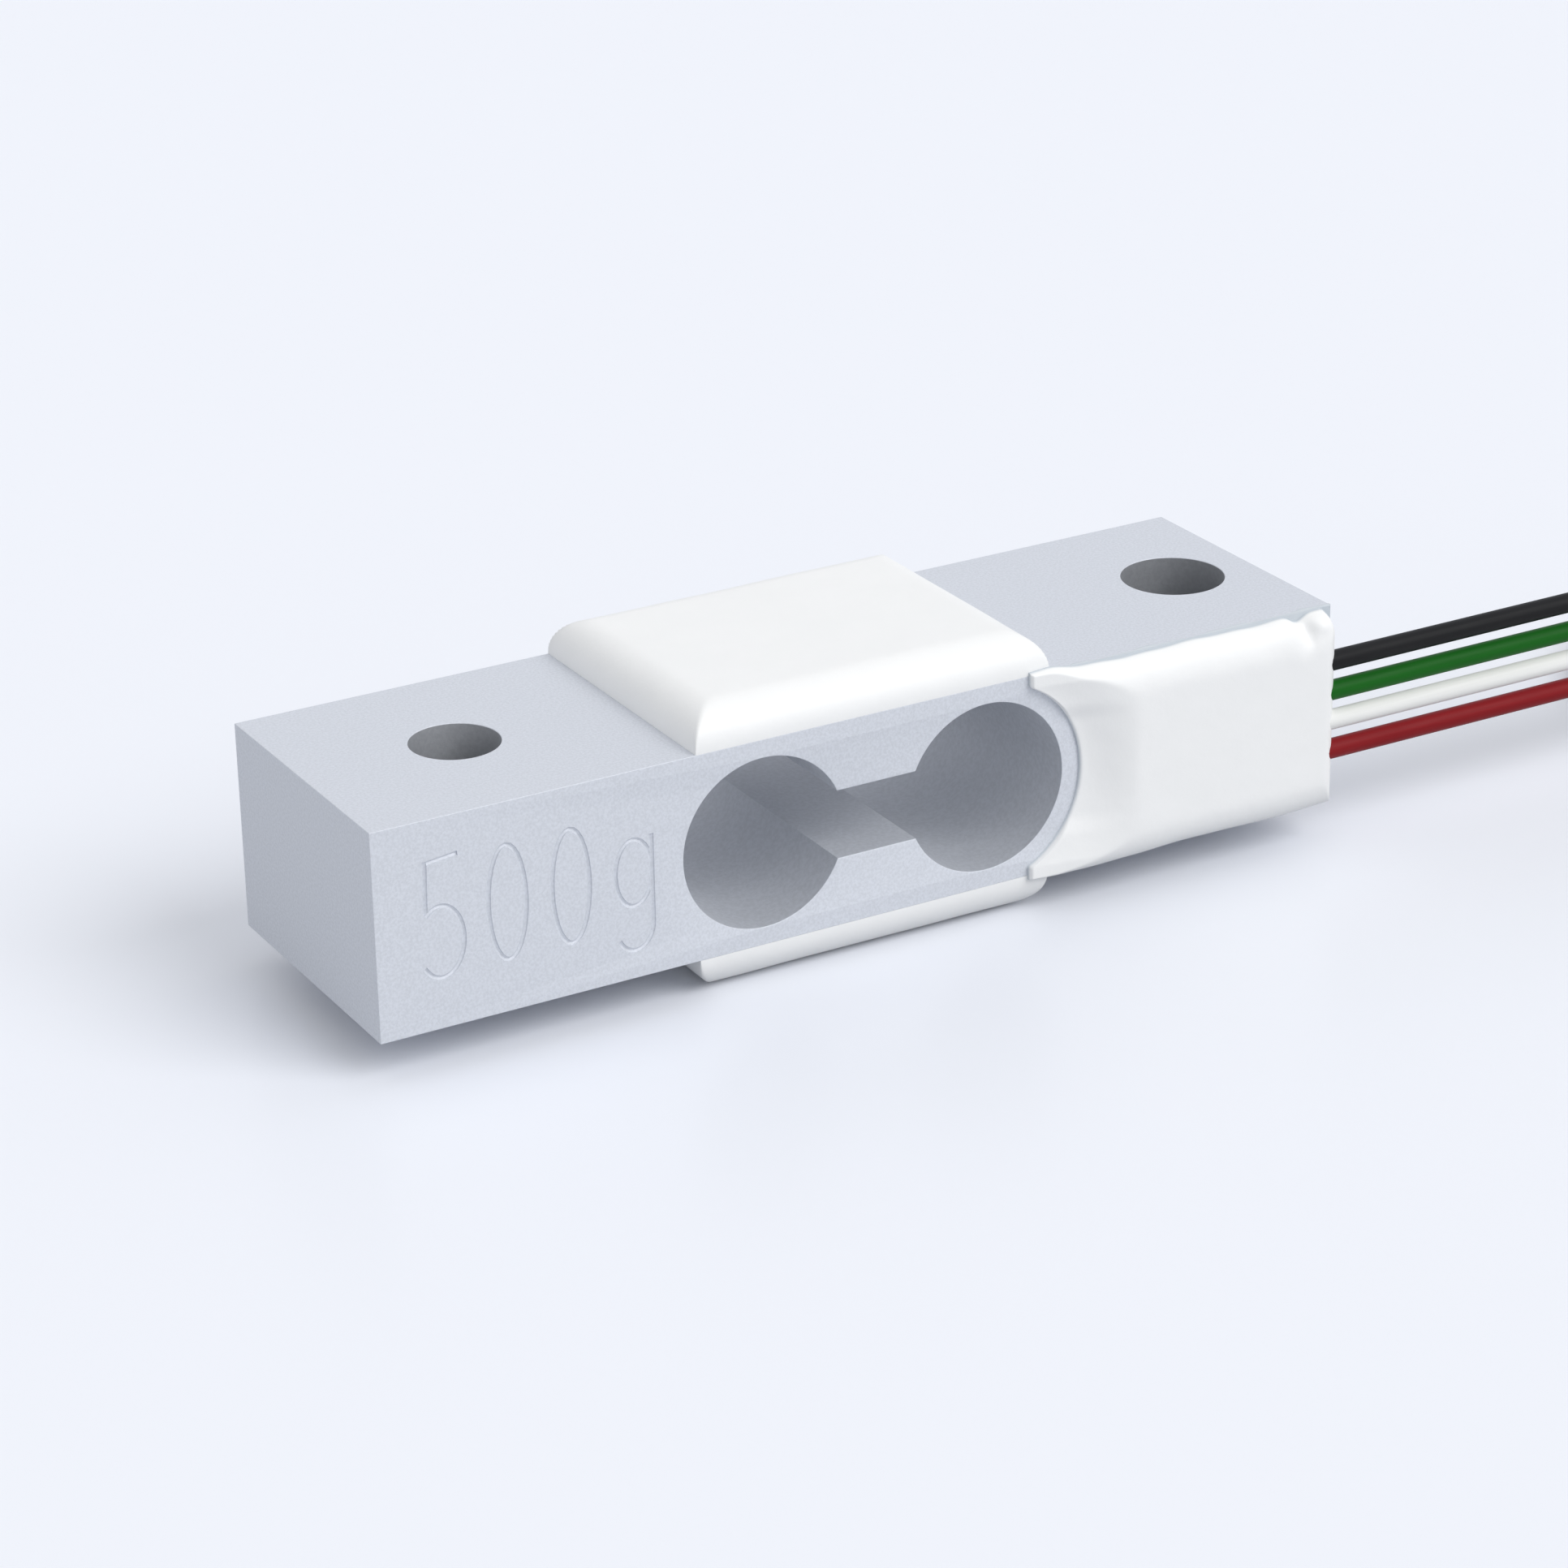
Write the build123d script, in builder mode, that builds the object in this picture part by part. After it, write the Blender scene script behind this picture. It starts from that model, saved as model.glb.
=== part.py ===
"""Miniature single-point weighing load cell: an aluminium bar with two joined cross bores, strain gauges
above and below them under white sealant, and four thin wires leaving one side.

X runs along the bar, the load end at -X and the fixed, wired end at +X. The wired side faces -Y and +Z is up.
Z is 0 at the plane that the lower sealant pad rests on, and X and Y are 0 at the middle of the bar.
"""

import os
from math import cos, radians, sin, tan

from build123d import *

os.makedirs("parts", exist_ok=True)

# Bar
beam_length = 30.0
beam_width = 8.5
beam_height = 6.0
bore_diameter = 4.95
bore_spacing = 7.0
slot_height = 2.0
load_hole_diameter = 2.5
load_hole_inset = 4.5
fixed_hole_diameter = 3.0
fixed_hole_inset = 2.5

# Rated load, cut into the wired side in single strokes
mark_height = 3.4
mark_width = 1.22
mark_stroke = 0.13
mark_depth = 0.06
mark_pitch = 1.86
mark_inset = 1.95
mark_drop = 0.75

# Sealant pads over the gauges
pad_length = 11.0
pad_height = 1.15
pad_edge_radius = 1.1

# Sealant on the wired side
sealant_depth = 0.7
sealant_tip_inset = 0.6
sealant_bore_margin = 0.575
sealant_edge_thickness = 0.12
sealant_ramp_length = 1.75
sealant_shoulder_height = 1.17
sealant_end_radius = 0.62
sealant_sag = 0.08
sealant_creep = 0.15

# Strain gauges
carrier_length = 4.0
carrier_width = 2.8
carrier_thickness = 0.05
foil_thickness = 0.02
grid_length = 2.0
strand_width = 0.12
strand_gap = 0.12
strand_count = 6
tab_length = 0.75
tab_width = 0.6
tab_joint_diameter = 0.44
tab_joint_height = 0.18

# Enamelled wires between the gauges and the terminal board
jumper_diameter = 0.1
jumper_standoff = 0.02
jumper_pitch = 0.2
jumper_bend_radius = 0.1
jumper_edge_inset = 0.1
jumper_layer = 0.16
link_gap = 0.15

# Terminal board under the side sealant
board_length = 2.6
board_height = 4.0
board_thickness = 0.13
board_inset = 3.1
land_thickness = 0.03
land_length = 0.95
land_height = 0.5
solder_margin = 0.05
solder_corner = 0.15
solder_cover = 0.06
solder_slope = 12

# Wires
lead_diameter = 0.6
lead_pitch = 0.91
lead_lift = 0.06
lead_standoff = 0.02
lead_buried_length = 2.4
conductor_diameter = 0.3
conductor_length = 1.4
tip_length = 3.0

# Hank of the spare wire
hank_run = 12.0
hank_inner_radius = 2.3
hank_turns = 3
hank_pitch = 1.25
hank_height = 1.24
hank_lift = 0.25
hank_waist = 1.3
hank_start = 19.0
hank_shift = 3.6
hank_joint = 22.8
slot_margin = 0.2
tie_width = 2.0
tie_thickness = 0.25
tie_corner_radius = 0.5
tie_twist_length = 4.0
tie_twist_width = 1.1
tie_twist_thickness = 0.45

# Levels and lines that the pieces share
beam_bottom = pad_height
beam_top = beam_bottom + beam_height
beam_middle = beam_bottom + beam_height / 2
beam_end = beam_length / 2
side_face = -beam_width / 2
bore_x = bore_spacing / 2
load_hole_x = -beam_end + load_hole_inset
fixed_hole_x = beam_end - fixed_hole_inset
board_x = beam_end - board_inset - board_length / 2
board_edge = board_x - board_length / 2
land_surface = side_face - board_thickness - land_thickness
lead_y = side_face - lead_standoff - lead_diameter / 2
lead_places = {"black": 1.5, "green": 0.5, "white": -0.5, "red": -1.5}
lead_levels = {name: beam_middle + lead_lift + place * lead_pitch for name, place in lead_places.items()}
lead_inner_x = beam_end - lead_buried_length

wired_side = Plane.XZ.offset(-side_face)
top_side = Plane.XY.offset(beam_top)
under_side = Plane(origin=(0, 0, beam_bottom), x_dir=(1, 0, 0), z_dir=(0, 0, -1))


def finish(piece, name):
    """Labels a finished piece and writes it under the name of its node."""
    piece.part.label = name
    export_step(piece.part, f"parts/{name}.step")
    return piece


def take_out(*pieces):
    """Leaves the room that other pieces fill in the piece being built."""
    for piece in pieces:
        add(piece.part, mode=Mode.SUBTRACT)


def round_route(points):
    """Radii of the arcs at a route's inner points: 0.45 of the shorter run over the tangent of half the turn."""
    radii = []
    for before, here, after in zip(points, points[1:], points[2:]):
        run_in = Vector(*here) - Vector(*before)
        run_out = Vector(*after) - Vector(*here)
        turn = radians(run_in.get_angle(run_out))
        radii.append(0.45 * min(run_in.length, run_out.length) / tan(turn / 2))
    return radii


def round_wire(points, radii, diameter):
    """A round wire swept along straight runs joined by tangent arcs."""
    with BuildPart() as wire:
        with BuildLine() as route:
            FilletPolyline(*points, radius=radii)
        with BuildSketch(Plane(origin=route.line @ 0, z_dir=route.line % 0)):
            Circle(diameter / 2)
        sweep()
    return wire


# Bar: one milled block with two cross bores joined by a slot, so that two thin webs bend above and two below
with BuildPart() as beam:
    with BuildSketch(Plane.XY.offset(beam_bottom)):
        Rectangle(beam_length, beam_width)
        with Locations((load_hole_x, 0)):
            Circle(load_hole_diameter / 2, mode=Mode.SUBTRACT)
        with Locations((fixed_hole_x, 0)):
            Circle(fixed_hole_diameter / 2, mode=Mode.SUBTRACT)
    extrude(amount=beam_height)
    with BuildSketch(wired_side):
        with Locations((-bore_x, beam_middle), (bore_x, beam_middle)):
            Circle(bore_diameter / 2)
        with Locations((0, beam_middle)):
            Rectangle(bore_spacing, slot_height)
    extrude(amount=-beam_width, mode=Mode.SUBTRACT)

    # The four characters of the rated load, each a shallow groove
    mark_x = [-beam_end + mark_inset + i * mark_pitch for i in range(4)]
    mark_top = beam_middle + 0.14 + mark_height / 2
    half_mark = mark_width / 2
    with BuildSketch(wired_side) as five:
        with BuildLine():
            top_right = (mark_x[0] + half_mark * 0.8, mark_top)
            top_left = (mark_x[0] - half_mark * 0.75, mark_top)
            stem_foot = (mark_x[0] - half_mark * 0.9, mark_top - mark_height * 0.45)
            Polyline(top_right, top_left, stem_foot)
            ThreePointArc(
                stem_foot,
                (mark_x[0] + half_mark, mark_top - mark_height * 0.68),
                (mark_x[0] - half_mark, mark_top - mark_height * 0.9),
            )
        trace(line_width=mark_stroke)
    extrude(amount=-mark_depth, mode=Mode.SUBTRACT)
    with BuildSketch(wired_side) as zeros:
        with Locations(*[(x, mark_top - mark_height / 2) for x in mark_x[1:3]]):
            Ellipse(half_mark, mark_height / 2)
            Ellipse(half_mark - mark_stroke, mark_height / 2 - mark_stroke, mode=Mode.SUBTRACT)
    extrude(amount=-mark_depth, mode=Mode.SUBTRACT)
    with BuildSketch(wired_side) as unit:
        bowl_height = mark_height * 0.3
        bowl_middle = mark_top - mark_drop - bowl_height
        with Locations((mark_x[3], bowl_middle)):
            Ellipse(half_mark, bowl_height)
            Ellipse(half_mark - mark_stroke, bowl_height - mark_stroke, mode=Mode.SUBTRACT)
        with BuildLine():
            stem_top = (mark_x[3] + half_mark - mark_stroke / 2, mark_top - mark_drop)
            hook_start = (stem_top[0], mark_top - mark_drop - mark_height * 0.8)
            Line(stem_top, hook_start)
            ThreePointArc(
                hook_start,
                (mark_x[3], mark_top - mark_drop - mark_height * 0.97),
                (mark_x[3] - half_mark, mark_top - mark_drop - mark_height * 0.84),
            )
        trace(line_width=mark_stroke)
    extrude(amount=-mark_depth, mode=Mode.SUBTRACT)
finish(beam, "beam")


# Strain gauges: a film carrier bonded over each bore, with a folded foil grid and two solder tabs on it
def gauge_pieces(side, x, facing):
    """Carrier, foil and the places of its two tabs seen from above. facing is +1 where the tabs point to +X."""
    with BuildPart() as carrier:
        with BuildSketch(side):
            with Locations((x, 0)):
                Rectangle(carrier_length, carrier_width)
        extrude(amount=carrier_thickness)
    strand_pitch = strand_width + strand_gap
    first = -(strand_count - 1) / 2 * strand_pitch
    tab_x = x + facing * (grid_length / 2 + tab_length / 2)
    tab_y = -first + strand_width / 2 - tab_width / 2
    with BuildPart() as foil:
        with BuildSketch(side.offset(carrier_thickness)):
            with GridLocations(0, strand_pitch, 1, strand_count):
                with Locations((x, 0)):
                    Rectangle(grid_length, strand_width)
            for i in range(strand_count - 1):
                turn_side = -facing if i % 2 == 0 else facing
                turn_x = x + turn_side * (grid_length - strand_width) / 2
                with Locations((turn_x, first + (i + 0.5) * strand_pitch)):
                    Rectangle(strand_width, strand_pitch + strand_width)
            with Locations((tab_x, tab_y), (tab_x, -tab_y)):
                Rectangle(tab_length, tab_width)
        extrude(amount=foil_thickness)
    return carrier, foil, {"rear": (tab_x, tab_y), "front": (tab_x, -tab_y)}


gauge_places = {
    "top_left": (top_side, -bore_x, 1),
    "top_right": (top_side, bore_x, -1),
    "bottom_left": (under_side, -bore_x, 1),
    "bottom_right": (under_side, bore_x, -1),
}
carriers = {}
foils = {}
tabs = {}
for place, (side, x, facing) in gauge_places.items():
    carriers[place], foils[place], tabs[place] = gauge_pieces(side, x, facing)
    finish(carriers[place], f"gauge_carrier_{place}")
    finish(foils[place], f"gauge_foil_{place}")

# Terminal board: a thin strip bonded to the wired side, with two columns of copper lands
with BuildPart() as terminal_board:
    with BuildSketch(wired_side):
        with Locations((board_x, beam_middle + lead_lift)):
            Rectangle(board_length, board_height)
    extrude(amount=board_thickness)
finish(terminal_board, "terminal_board")

land_offset = board_length / 4
with BuildPart() as board_lands:
    with BuildSketch(wired_side.offset(board_thickness)):
        with Locations(*[(board_x + s * land_offset, z) for s in (-1, 1) for z in lead_levels.values()]):
            Rectangle(land_length, land_height)
    extrude(amount=land_thickness)
finish(board_lands, "board_lands")

# Enamelled wires: three from each pair of gauges run over the bar's edge and along the side to the board, and
# one links the pair's two rear tabs
jumper_clear = jumper_diameter / 2 + jumper_standoff
tab_level = carrier_thickness + foil_thickness + jumper_clear
pad_end = pad_length / 2
edge_x = pad_end - jumper_edge_inset
land_x = board_x - land_offset
land_y = land_surface - jumper_clear
bore_keep_out = bore_diameter / 2 + sealant_bore_margin


def jumper_points(tab, rank, up, land, offset):
    """Route of one gauge wire: across the bar's face in a layer of its own, over the edge, round the bore and
    onto its land. rank orders the wires from the bore outward, up is +1 on the top side and -1 on the under
    side, land names the lead whose land it shares and offset is its place there. On the side, the wires from
    the top pass outside those from the bottom."""
    surface = beam_top if up > 0 else beam_bottom
    layer = surface + up * (tab_level + rank * jumper_layer)
    lift = jumper_clear + (jumper_layer if up > 0 else 0)
    x, y = tab
    cross_x = edge_x - (2 - rank) * jumper_pitch
    corner_x = cross_x + 0.65 - 0.15 * rank
    corner_z = surface - up * (0.72 - 0.15 * rank)
    way_x = corner_x + (0.52 + 0.07 * rank) * (board_edge - corner_x)
    end_z = lead_levels[land] + offset
    return [
        (x, y, surface + up * tab_level),
        (x + 0.4, y - 0.25, layer),
        (cross_x - 0.2, side_face + 0.9 + rank * jumper_pitch, layer),
        (cross_x, side_face + 0.3, surface + up * jumper_clear),
        (cross_x + 0.04, side_face - jumper_clear, surface + up * jumper_clear),
        (cross_x + 0.05, side_face - jumper_clear, surface - up * 0.14),
        (corner_x, side_face - jumper_clear, corner_z),
        (way_x, side_face - lift, surface - up * (1.5 - rank * jumper_pitch)),
        (board_edge - 0.3, side_face - lift - 0.17, end_z + up * 0.12),
        (land_x + 0.1, land_y, end_z),
    ]


jumper_nets = {
    "top_signal_minus": ("top_right", "front", 0, "white", 0.09),
    "top_signal_plus": ("top_left", "front", 1, "green", 0.09),
    "top_supply_minus": ("top_right", "rear", 2, "black", 0.0),
    "bottom_signal_plus": ("bottom_left", "front", 0, "green", -0.09),
    "bottom_signal_minus": ("bottom_right", "front", 1, "white", -0.09),
    "bottom_supply_plus": ("bottom_right", "rear", 2, "red", 0.0),
}
jumpers = {}
for net, (place, tab, rank, land, offset) in jumper_nets.items():
    up = 1 if net.startswith("top") else -1
    route = jumper_points(tabs[place][tab], rank, up, land, offset)
    jumpers[net] = round_wire(route, [jumper_bend_radius] * (len(route) - 2), jumper_diameter)
    finish(jumpers[net], f"gauge_wire_{net}")

for face, level in (("top", beam_top + tab_level), ("bottom", beam_bottom - tab_level)):
    link_start, link_y = tabs[f"{face}_left"]["rear"]
    link_end = tabs[f"{face}_right"]["rear"][0] - link_gap
    with BuildPart() as jumpers[f"{face}_link"]:
        with BuildSketch(Plane(origin=(link_start, link_y, level), z_dir=(1, 0, 0))):
            Circle(jumper_diameter / 2)
        extrude(amount=link_end - link_start)
    finish(jumpers[f"{face}_link"], f"gauge_link_{face}")

# Wires: one stripped, tinned end soldered to its land, and the insulated wire out through the side sealant
conductors = {}
for name, level in lead_levels.items():
    with BuildPart() as conductors[name]:
        with BuildSketch(Plane(origin=(lead_inner_x, lead_y, level), z_dir=(-1, 0, 0))):
            Circle(conductor_diameter / 2)
        extrude(amount=conductor_length)
    finish(conductors[name], f"wire_{name}_inner_end")

# Solder: a mound on each land, tall over the stripped ends and low over the gauge wires, and a dot on each tab
with BuildPart() as board_solder:
    for column, rise in ((land_offset, conductor_diameter + solder_cover), (-land_offset, 2 * jumper_diameter)):
        with BuildSketch(Plane.XZ.offset(-land_surface)):
            with Locations(*[(board_x + column, level) for level in lead_levels.values()]):
                RectangleRounded(land_length - 2 * solder_margin, land_height - solder_margin, solder_corner)
        extrude(amount=rise, taper=solder_slope)
    take_out(*conductors.values(), *jumpers.values())
finish(board_solder, "board_solder")

with BuildPart() as gauge_solder_top:
    with BuildSketch(top_side.offset(carrier_thickness + foil_thickness)):
        with Locations(*tabs["top_left"].values(), *tabs["top_right"].values()):
            Circle(tab_joint_diameter / 2)
    extrude(amount=tab_joint_height, taper=solder_slope)
    take_out(*[wire for net, wire in jumpers.items() if net.startswith("top")])
finish(gauge_solder_top, "gauge_solder_top")

with BuildPart() as gauge_solder_bottom:
    with BuildSketch(under_side.offset(carrier_thickness + foil_thickness)):
        with Locations(*tabs["bottom_left"].values(), *tabs["bottom_right"].values()):
            Circle(tab_joint_diameter / 2)
    extrude(amount=tab_joint_height, taper=solder_slope)
    take_out(*[wire for net, wire in jumpers.items() if net.startswith("bottom")])
finish(gauge_solder_bottom, "gauge_solder_bottom")

# Wires from the board to the hank: straight out of the sealant in a flat row one above the other, then down
# into a bundle of two over two. The stations are distances past the bar's end, and at each of them a wire has
# its place beside the row's line and its height.
row_end = 10.6
lead_stations = [13.6, 16.8, 19.6, 21.5, hank_joint]
lead_points = {
    "black": [(0.57, 4.36), (1.37, 2.58), (2.17, 1.38), (2.6, 0.96), (2.78, 0.93)],
    "green": [(0.03, 3.84), (0.73, 2.58), (1.53, 1.38), (1.97, 0.96), (2.16, 0.93)],
    "white": [(0.03, 3.12), (0.73, 1.9), (1.53, 0.66), (1.97, 0.31), (2.16, 0.31)],
    "red": [(0.57, 2.6), (1.37, 1.9), (2.17, 0.66), (2.6, 0.31), (2.78, 0.31)],
}
leads = {}
for name, level in lead_levels.items():
    points = [(lead_inner_x, lead_y, level), (beam_end + row_end, lead_y, level)]
    points += [(beam_end + x, lead_y + y, z) for x, (y, z) in zip(lead_stations, lead_points[name])]
    radii = round_route(points)
    print("wire", name, "arc radii", [round(r, 2) for r in radii])
    leads[name] = round_wire(points, radii, lead_diameter)
    finish(leads[name], f"wire_{name}")

# Side sealant: silicone run over the board and the wires. Its section is a flat face with two long rounded
# shoulders, its end is rounded, and it sweeps down to a thin edge around the bore
with BuildPart() as side_sealant:
    sealant_start = pad_end - sealant_tip_inset
    with BuildSketch(Plane.YZ.offset(sealant_start)):
        with BuildLine():
            foot = beam_bottom - sealant_sag
            upper = beam_top - sealant_shoulder_height
            lower = foot + sealant_shoulder_height
            Line((side_face, foot), (side_face, beam_top))
            EllipticalCenterArc((side_face, upper), sealant_depth, sealant_shoulder_height, 90, arc_size=90)
            Line((side_face - sealant_depth, upper), (side_face - sealant_depth, lower))
            EllipticalCenterArc((side_face, lower), sealant_depth, sealant_shoulder_height, 180, arc_size=90)
        make_face()
    extrude(amount=beam_end - sealant_start)
    with BuildSketch(Plane.XY.offset(beam_bottom - 2 * sealant_sag)) as plan:
        with Locations((beam_end, side_face)):
            Rectangle(beam_length, 2 * sealant_depth, align=(Align.MAX, Align.CENTER))
        outer_corner = plan.vertices().group_by(Axis.X)[-1].sort_by(Axis.Y)[0]
        fillet(outer_corner, min(sealant_end_radius, 0.9 * sealant_depth))
    extrude(amount=beam_height + 4 * sealant_sag, mode=Mode.INTERSECT)
    bore_axis = Plane(origin=(bore_x, side_face, beam_middle), x_dir=(1, 0, 0), z_dir=(0, 0, 1))
    with BuildSketch(bore_axis):
        with BuildLine():
            ramp_end = bore_keep_out + sealant_ramp_length
            clear = 2 * sealant_depth
            thin_edge = (bore_keep_out, -sealant_edge_thickness)
            ramp_top = (ramp_end, -sealant_depth)
            ramp_middle = (bore_keep_out + 0.5 * sealant_ramp_length, -0.42 * sealant_depth)
            Polyline((0, clear), (bore_keep_out, clear), thin_edge)
            ThreePointArc(thin_edge, ramp_middle, ramp_top)
            Polyline(ramp_top, (ramp_end, -clear), (0, -clear), (0, clear))
        make_face()
    revolve(axis=Axis((bore_x, side_face, beam_middle), (0, 1, 0)), mode=Mode.SUBTRACT)

    # A small lip at each tip covers the wires where they cross the bar's edge
    for level, up in ((beam_top, 1), (beam_bottom, -1)):
        with Locations((sealant_start, side_face, level + up * sealant_creep)):
            Box(
                2 * jumper_pitch + 2 * sealant_creep,
                sealant_creep,
                4 * sealant_creep,
                align=(Align.MIN, Align.MAX, Align.MAX if up > 0 else Align.MIN),
            )
    take_out(terminal_board, board_lands, board_solder)
    take_out(*conductors.values(), *leads.values(), *jumpers.values())
finish(side_sealant, "side_sealant")


# Sealant pads: a block of silicone over each pair of gauges, flush with the bar's sides and rounded on top
def sealant_pad(side, buried):
    with BuildPart() as pad:
        with BuildSketch(side):
            Rectangle(pad_length, beam_width)
        extrude(amount=pad_height)
        outward = Axis(side.origin, side.z_dir)
        fillet(pad.faces().sort_by(outward)[-1].edges(), min(pad_edge_radius, 0.96 * pad_height))
        take_out(*buried)
    return pad


top_buried = [gauge_solder_top]
bottom_buried = [gauge_solder_bottom]
for place in gauge_places:
    buried = top_buried if place.startswith("top") else bottom_buried
    buried += [carriers[place], foils[place]]
for net, wire in jumpers.items():
    buried = top_buried if net.startswith("top") else bottom_buried
    buried.append(wire)
top_pad = finish(sealant_pad(top_side, top_buried), "top_pad")
bottom_pad = finish(sealant_pad(under_side, bottom_buried), "bottom_pad")

# Hank of the spare wire: where its turns lie. The right ends turn about one point and the left ends about
# another, half a turn's pitch further back, so that the turns open out from the inside
hank_left = beam_end + hank_start
hank_right = hank_left + hank_run
hank_centre_y = lead_y - hank_inner_radius + hank_shift
half_bundle = hank_pitch / 2
outer_radius = hank_inner_radius + (hank_turns - 1) * hank_pitch + half_bundle
top_line = hank_centre_y + outer_radius + hank_pitch
bottom_line = hank_centre_y - outer_radius
hank_middle = (hank_left + hank_right) / 2
left_centre_y = hank_centre_y + half_bundle
left_radius = outer_radius + half_bundle
slot_left = hank_left - hank_inner_radius + half_bundle

# Free ends: each wire leaves the last turn, spreads on the surface and ends in a stripped, tinned tip.
# A point is the distance past the bar's end, past the row's line, and the height.
tail_points = {
    "black": [(31.0, 7.66, 0.93), (32.7, 7.78, 0.93), (34.8, 8.13, 0.66), (36.6, 8.25, 0.31), (38.0, 8.25, 0.3)],
    "green": [(31.0, 7.04, 0.93), (32.8, 6.8, 0.93), (34.9, 5.92, 0.62), (36.6, 5.4, 0.31), (38.2, 5.15, 0.3)],
    "white": [(31.0, 7.04, 0.31), (33.0, 6.9, 0.31), (35.2, 6.62, 0.3), (37.3, 6.35, 0.3)],
    "red": [(31.0, 7.66, 0.31), (33.0, 7.58, 0.31), (35.2, 7.3, 0.3), (37.4, 7.2, 0.3)],
}
free_ends = {}
for name, points in tail_points.items():
    points = [(beam_end + x, lead_y + y, z) for x, y, z in points]
    radii = round_route(points)
    print("free end", name, "arc radii", [round(r, 2) for r in radii])
    free_ends[name] = round_wire(points, radii, lead_diameter)
    finish(free_ends[name], f"wire_{name}_free_end")
    last = Vector(*points[-1])
    way = last - Vector(*points[-2])
    with BuildPart() as tip:
        with BuildSketch(Plane(origin=last, z_dir=way)):
            Circle(conductor_diameter / 2)
        extrude(amount=tip_length)
    finish(tip, f"wire_{name}_tip")

# Tie around the hank's waist, its two ends twisted together and pressed flat
with BuildPart() as tie_band:
    with BuildSketch(Plane.YZ.offset(hank_middle - tie_width / 2)):
        band_low = bottom_line + hank_waist
        band_high = top_line - hank_waist
        with Locations(((band_low + band_high) / 2, hank_height / 2 + hank_lift)):
            RectangleRounded(
                band_high - band_low + 2 * tie_thickness,
                hank_height + 2 * tie_thickness,
                tie_corner_radius,
            )
            RectangleRounded(
                band_high - band_low,
                hank_height,
                tie_corner_radius - tie_thickness,
                mode=Mode.SUBTRACT,
            )
    extrude(amount=tie_width)
    twist_level = hank_height + hank_lift + tie_thickness + tie_twist_thickness / 2 - 0.1
    for i in range(5):
        turn = radians(45 * i)
        twist_y = hank_centre_y + (0.3 - i / 4) * tie_twist_length
        twist_z = twist_level + (tie_twist_width - tie_twist_thickness) / 2 * abs(sin(turn))
        across = (cos(turn), 0, sin(turn))
        with BuildSketch(Plane(origin=(hank_middle, twist_y, twist_z), x_dir=across, z_dir=(0, -1, 0))):
            Rectangle(tie_twist_width, tie_twist_thickness)
    loft(ruled=True)
finish(tie_band, "hank_tie")

# Hank: the spare wire wound in flat turns from the inside out, closed around its slot, which the wires enter
with BuildPart() as wire_hank:
    with BuildSketch(Plane.XY):
        with BuildLine():
            start = (hank_right, top_line)
            upper_left = (hank_left, top_line)
            lower_left = (hank_left, bottom_line)
            lower_right = (hank_right, bottom_line)
            inner_right = (hank_right, hank_centre_y + outer_radius)
            ThreePointArc(start, (hank_middle, top_line - hank_waist), upper_left)
            ThreePointArc(upper_left, (hank_left - left_radius, left_centre_y), lower_left)
            ThreePointArc(lower_left, (hank_middle, bottom_line + hank_waist), lower_right)
            ThreePointArc(lower_right, (hank_right + outer_radius, hank_centre_y), inner_right)
            Line(inner_right, start)
        make_face()
    extrude(amount=hank_height + hank_lift)
    with BuildSketch(Plane.XZ.offset(-top_line)):
        with BuildLine():
            hank_low = hank_left - 2 * left_radius
            hank_high = hank_right + 2 * left_radius
            Polyline(
                (hank_low, 0),
                (hank_middle - 2.2 * tie_width, 0),
                (hank_middle - tie_width / 2, hank_lift),
                (hank_middle + tie_width / 2, hank_lift),
                (hank_middle + 2.2 * tie_width, 0),
                (hank_high, 0),
                (hank_high, hank_height),
                (hank_middle + 2.2 * tie_width, hank_height),
                (hank_middle + tie_width / 2, hank_height + hank_lift),
                (hank_middle - tie_width / 2, hank_height + hank_lift),
                (hank_middle - 2.2 * tie_width, hank_height),
                (hank_low, hank_height),
                (hank_low, 0),
            )
        make_face()
    extrude(amount=4 * left_radius, mode=Mode.INTERSECT)
    with BuildSketch(Plane.XY):
        with BuildLine():
            joint_x = beam_end + hank_joint
            Polyline(
                (slot_left, hank_centre_y + 3 * half_bundle + slot_margin),
                (joint_x, hank_centre_y + 3 * half_bundle),
                (joint_x, hank_centre_y - half_bundle),
                (slot_left, hank_centre_y - half_bundle - slot_margin),
                (slot_left, hank_centre_y + 3 * half_bundle + slot_margin),
            )
        make_face()
    extrude(amount=2 * hank_height, mode=Mode.SUBTRACT)
    take_out(tie_band, *leads.values(), *free_ends.values())
finish(wire_hank, "wire_hank")
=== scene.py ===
"""Miniature single-point weighing load cell, rated for half a kilogram, dressed for a picture around its CAD frame.

Every piece is drawn in the frame of the CAD, in millimetres here: X along the bar towards its wired end, -Y out of
the wired side, +Z up, with Z 0 under the lower pad.
"""

from math import asin, cos, exp, pi, radians, sin, sqrt

import bmesh
import bpy
from mathutils import Matrix, Vector, noise


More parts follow.
